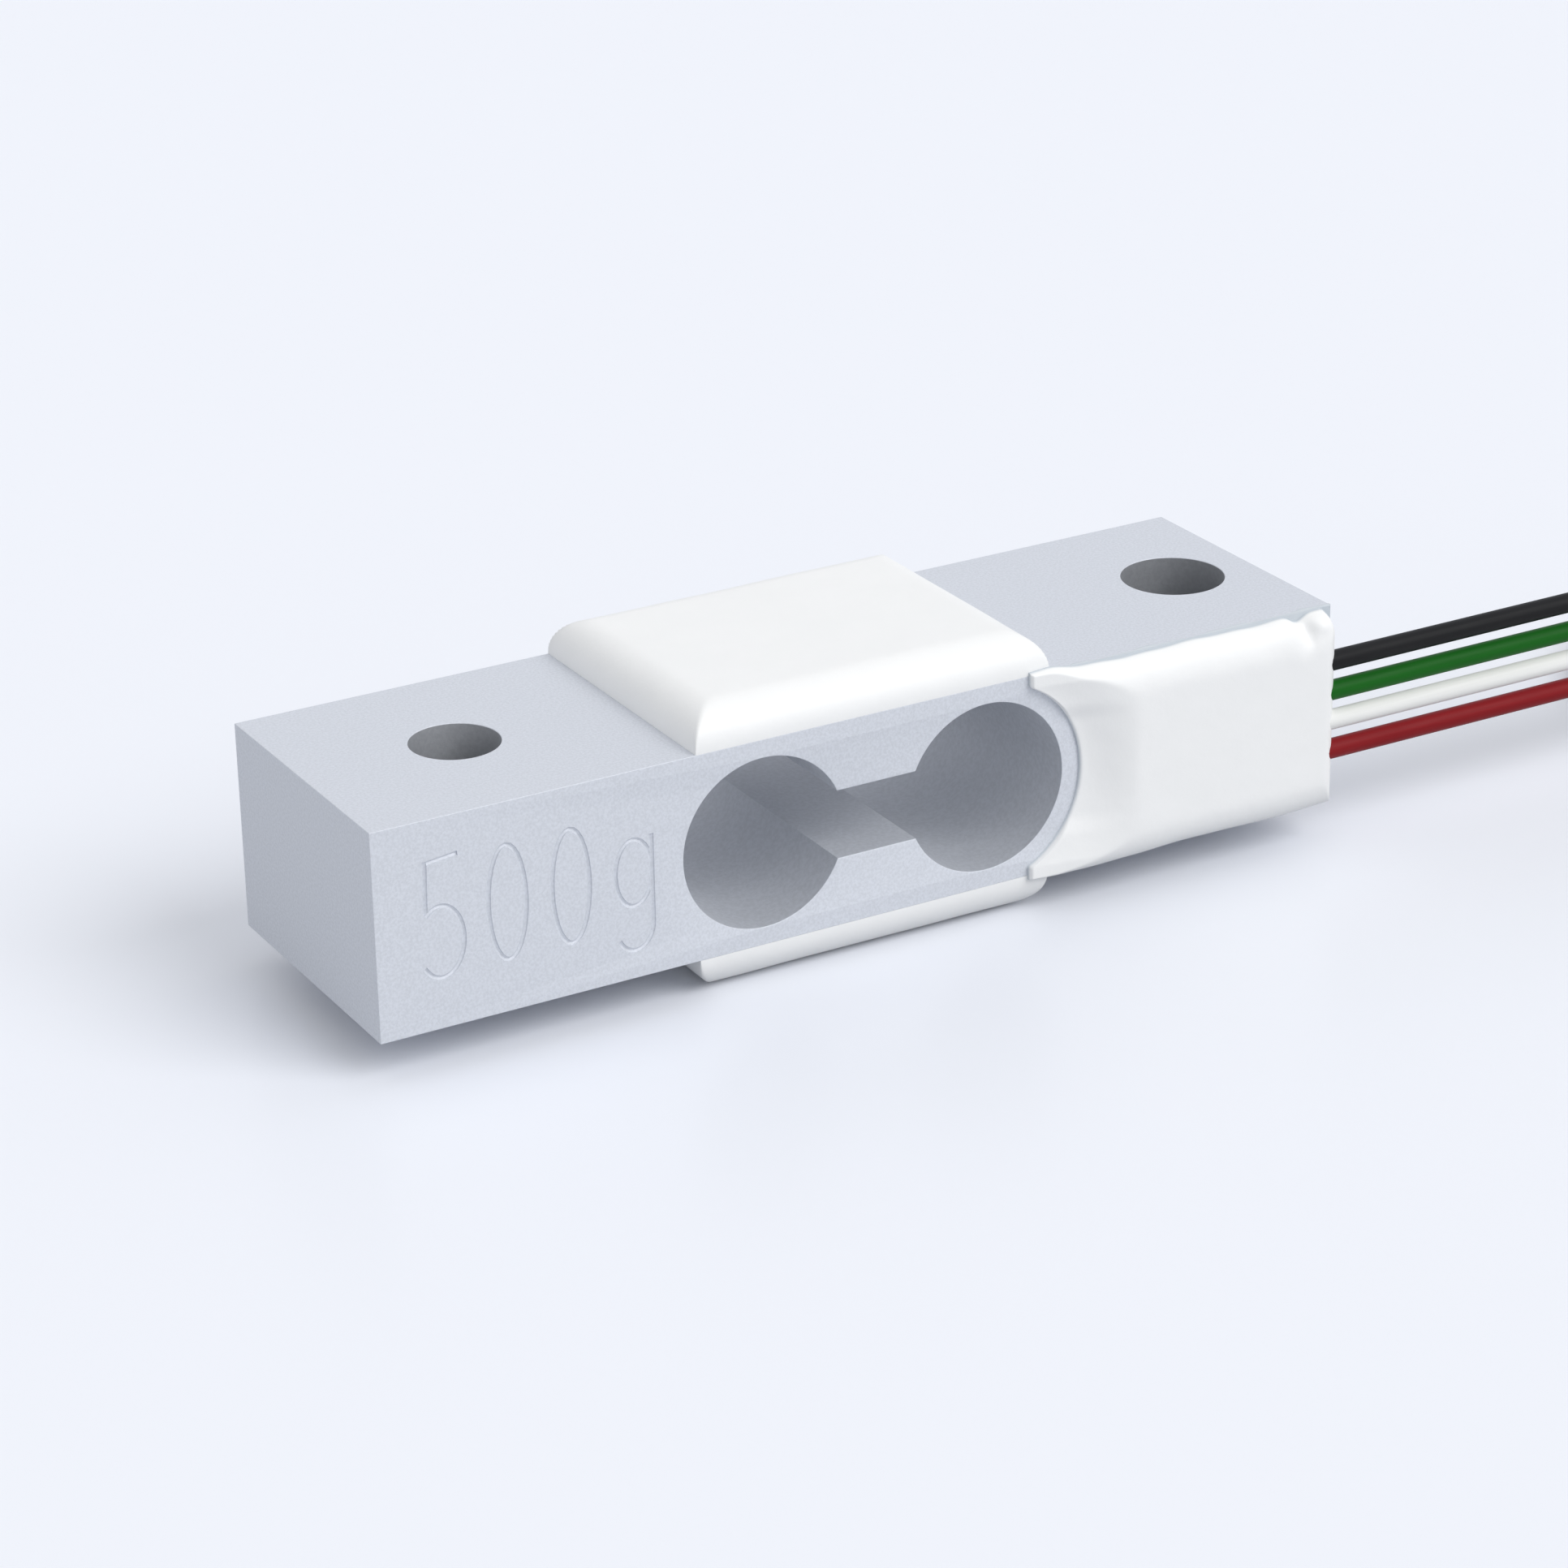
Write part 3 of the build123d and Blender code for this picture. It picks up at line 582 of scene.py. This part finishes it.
wrap = []
x_way = Vector((1, 0, 0))
for quarter, (sy, sz) in enumerate(((1, 1), (-1, 1), (-1, -1), (1, -1))):
    for step in range(7):
        angle = radians(90 * quarter + 15 * step)
        out = Vector((0, cos(angle), sin(angle)))
        y = wrap_y + sy * (wrap_half_y - wrap_radius)
        z = wrap_z + sz * (wrap_half_z - wrap_radius)
        wrap.append((Vector((hank_middle, y, z)) + wrap_radius * out, x_way, out))
tie_points, tie_faces = tie_strip(wrap, tie_width / 2, True)
twist_start, twist_length, twist_turns, end_half_width = hank_y + 1.2, 4.0, 2.5, 0.46
for side in (1, -1):
    ribbon = []
    for step in range(61):
        along = step / 60
        turn = 2 * pi * twist_turns * max(0, along - 0.06)
        rise = ease(along / 0.18)
        part = 0.10 + 0.16 * max(0, along - 0.82) / 0.18
        across = Vector((cos(turn), 0, sin(turn)))
        out = Vector((-sin(turn), 0, cos(turn)))
        z = 1.82 + 0.40 * rise
        middle = Vector((hank_middle, twist_start - twist_length * along, z)) + side * (0.04 + part * rise) * out
        ribbon.append((middle, across, out))
    more_points, more_faces = tie_strip(ribbon, end_half_width, False)
    tie_faces += [tuple(i + len(tie_points) for i in face) for face in more_faces]
    tie_points += more_points
tie = piece("hank_twist_tie", tie_points, tie_faces, tie_paint)
tie.data.set_sharp_from_angle(angle=radians(50))
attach(tie, "root")
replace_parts(tie, "hank_tie")

# Cords: each wire is a cord from the bar's end on, coiled and bare at its far end, attached to the root in place of its
# CAD nodes.
for colour, wire in wires.items():
    held = [wire["tip"]] + ([tie] if colour == "black" else [])
    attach(wire["object"], "root")
    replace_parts(wire["object"], f"wire_{colour}", f"wire_{colour}_free_end", "wire_hank")

# Side sealant: white silicone run over the board and the wires and wiped flat, with long rounded shoulders. It
# thins to a translucent margin round the bore and creeps a little over and under the bar's edges.
silicone, place = finish("white silicone")
depth = place.node("Attribute", {"attribute_name": "depth"}, {}, "Fac")
ripple = place.grain(0.9, 3.0)
skin = place.grain(14.0, 2.0)
thick = depth.step(0.015, 0.15)
body_colour = ripple.tint((0.91, 0.912, 0.908), (0.94, 0.942, 0.938))
place.surface(
    {
        "Base Color": thick.tint((0.56, 0.61, 0.66), body_colour),
        "Roughness": 0.40 + 0.12 * ripple,
        "Subsurface Weight": 0.12,
        "Subsurface Radius": (0.0006, 0.0006, 0.0006),
    },
    ripple * 0.8 + skin * 0.08,
    0.03,
)
sealant_depth, shoulder, end_round, panel_left = 0.7, 1.17, 0.62, 8.15
margin_radius, tip_reach = 3.02, 1.36
lower_edge = ((4.7, -0.10), (5.8, -0.154), (6.9, -0.166), (8.25, -0.142), (9.9, -0.083), (11.0, -0.094))
lower_edge += ((13.0, -0.127), (15.3, -0.059))


def between(table, x):
    """A soft line through the places of a table."""
    for (x0, y0), (x1, y1) in zip(table, table[1:]):
        if x <= x1:
            return y0 + (y1 - y0) * ease((x - x0) / (x1 - x0))
    return table[-1][1]


def hump(x, z, centre_x, centre_z, size_x, size_z):
    """1 at a centre, fading away over a size in each direction."""
    return exp(-(((x - centre_x) / size_x) ** 2) - ((z - centre_z) / size_z) ** 2)


def swell(distance, size):
    """A quarter ellipse: 0 at an edge, 1 from size inwards."""
    t = 1 - min(1, max(0, distance / size))
    return sqrt(1 - t * t)


def least(values, blend=0.05):
    """The least of some values, with the corner between the two least rounded off."""
    low, high = sorted(values)[:2]
    near = max(0, blend - (high - low)) / blend
    return low - near * near * blend / 4


def sealant_top(x):
    """Height of the sealant's upper edge: just below the bar's, raised over the gauge wires, dipped at the crease."""
    film = 0.05 + 0.02 * sin(1.7 * x) + 0.012 * sin(4.1 * x + 1)
    over_gauge_wires = 0.19 * exp(-((max(0, x - 5.4) / 0.8) ** 2))
    return bar_top - film - 0.20 * exp(-(((x - 13.75) / 0.28) ** 2)) + over_gauge_wires


def sealant_left(z):
    """Where the sealant starts beside the bore, at a height."""
    return bore_x + sqrt(max(margin_radius**2 - (z - bar_middle) ** 2, tip_reach**2))


def sealant_thickness(x, z):
    """Thickness on the wired side: a thin margin by the bore, a ramp to the flat panel, then its shoulders."""
    low, high = bar_bottom + between(lower_edge, x), sealant_top(x)
    start = sealant_left(z)
    t = min(1, max(0, (x - start) / (panel_left - start)))
    margin = 0.17 + 0.14 * ease((abs(z - bar_middle) - 1.4) / 0.6)
    around = margin + (1 - margin) * (0.35 * t + 0.65 * ease(t))
    right_edge = bar_end - 0.42 * max(0, (z - bar_top + 0.75) / 0.75) ** 2
    rise = least((swell(z - low, shoulder), swell(high - z, shoulder), swell(right_edge - x, end_round), around))
    thickness = sealant_depth * max(0, rise) * swell(x - start + 0.02, 0.09)
    thickness -= 0.26 * hump(x, z, 13.95, 6.72, 0.17, 0.30) * min(1, rise)
    thickness += 0.10 * hump(x, z, 14.42, 6.85, 0.26, 0.24) * min(1, 3 * rise)
    return max(thickness, 0)


def spaced(count, crowding=1.9):
    """Places from 0 to 1, closer together towards both ends."""
    places = []
    for i in range(count + 1):
        t = 2 * i / count - 1
        places.append(0.5 + 0.5 * (1 if t > 0 else -1) * (1 - (1 - abs(t)) ** crowding))
    return places


def grid(row_count, columns):
    """The faces between points that lie row by row."""
    corners = [j * columns + i for j in range(row_count - 1) for i in range(columns - 1)]
    return [(corner, corner + 1, corner + columns + 1, corner + columns) for corner in corners]


def silicone_piece(name, points, faces, depths):
    """A piece of silicone, with its depth at each point for its material."""
    made = piece(name, points, faces, silicone)
    made.data.attributes.new("depth", "FLOAT", "POINT").data.foreach_set("value", depths)
    return made


across_places, up_places = spaced(120), spaced(96)
rows = []
for v in up_places:
    row = []
    start = 5.0
    for _ in range(4):  # the start of a row depends on its height there, and settles in four rounds
        low, high = bar_bottom + between(lower_edge, start), sealant_top(start)
        start = sealant_left(low + v * (high - low))
    for u in across_places:
        x = start + u * (bar_end - start)
        low, high = bar_bottom + between(lower_edge, x), sealant_top(x)
        z = low + v * (high - low)
        row.append((x, z, sealant_thickness(x, z)))
    rows.append(row)
points, depths = [], []
for row in rows:
    for x, z, thickness in row:
        points.append((x, side_face - max(thickness, 0.004), z))
        depths.append(thickness)
columns = len(across_places)
faces = grid(len(rows), columns)
edge = [(len(rows) - 1) * columns + i for i in range(columns)]
creeps = []
for rise_z, creep in ((0.02, 0.0), (0.014, 0.6), (0.0, 1.0)):
    fresh = []
    for i in range(columns):
        x = rows[-1][i][0]
        reach = 0.10 + 0.05 * sin(2.3 * x) + 0.03 * sin(5.9 * x)
        fresh.append(len(points))
        points.append((x, side_face + creep * max(reach, 0.03), max(bar_top + rise_z, rows[-1][i][1] * (creep == 0))))
        depths.append(0.05 if creep < 1 else 0.0)
    faces += [(edge[i], edge[i + 1], fresh[i + 1], fresh[i]) for i in range(columns - 1)]
    creeps.append(fresh)
    edge = fresh
outline = [j * columns for j in range(len(rows) - 1, -1, -1)] + list(range(1, columns))
outline += [j * columns + columns - 1 for j in range(1, len(rows))]
wall = []
for i in outline:
    wall.append(len(points))
    points.append((points[i][0], side_face + 0.01, points[i][2]))
    depths.append(0.0)
faces += [(outline[i + 1], outline[i], wall[i], wall[i + 1]) for i in range(len(outline) - 1)]
back_face = list(reversed(wall)) + [outline[0]] + [fresh[0] for fresh in creeps] + creeps[-1][1:]
back_face += [fresh[-1] for fresh in reversed(creeps[:-1])] + [outline[-1]]
faces.append(tuple(reversed(back_face)))
sealant = silicone_piece("side_sealant_bead", points, faces, depths)
sealant.data.polygons[-1].use_smooth = False
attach(sealant, "root")
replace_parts(sealant, "side_sealant")

# Pads: a thick block of the same silicone cast over each pair of gauges, flush with the bar's sides. Its outer
# edges are drawn round and meet in mitres.
pad_half_x, pad_half_y, pad_height, pad_round = 5.53, 4.25, 1.15, 1.07


def pad_places(half, count):
    """Places across a pad, even around its rounded edges, each with the height that its edge allows there."""
    rounded = []
    for i in range(15):
        angle = radians(90 * i / 14)
        rounded.append((-half + pad_round * (1 - cos(angle)), pad_height - pad_round * (1 - sin(angle))))
    flat = half - pad_round
    middle = [(-flat + 2 * flat * i / count, pad_height) for i in range(1, count)]
    return rounded + middle + [(-place, height) for place, height in reversed(rounded)]


def pad_mesh(name, surface, out):
    """A pad on the bar's top or bottom surface, out being 1 for upwards and -1 for downwards."""
    xs, ys = pad_places(pad_half_x, 30), pad_places(pad_half_y, 24)
    points = []
    for y, y_height in ys:
        for x, x_height in xs:
            height = least((x_height, y_height), 0.02)
            wave = noise.noise(Vector((x * 0.42, y * 0.42, out * 9.0)))
            height -= 0.022 * (1 + wave) * min(1, max(0, height - 0.1))
            points.append((x, y, surface + out * height))
    wide = len(xs)
    faces = grid(len(ys), wide)
    rim = list(range(wide)) + [j * wide + wide - 1 for j in range(1, len(ys))]
    rim += [(len(ys) - 1) * wide + i for i in range(wide - 2, -1, -1)]
    rim += [j * wide for j in range(len(ys) - 2, 0, -1)]
    foot = []
    for i in rim:
        foot.append(len(points))
        points.append((points[i][0], points[i][1], surface))
    for i in range(len(rim)):
        after = (i + 1) % len(rim)
        faces.append((rim[i], foot[i], foot[after], rim[after]))
    faces.append(tuple(reversed(foot)))
    if out < 0:
        faces = [tuple(reversed(face)) for face in faces]
    pad = silicone_piece(name, points, faces, [1.0] * len(points))
    pad.data.set_sharp_from_angle(angle=radians(60))
    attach(pad, "root")
    return pad


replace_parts(pad_mesh("upper_pad", bar_top, 1), "top_pad")
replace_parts(pad_mesh("lower_pad", bar_bottom, -1), "bottom_pad")
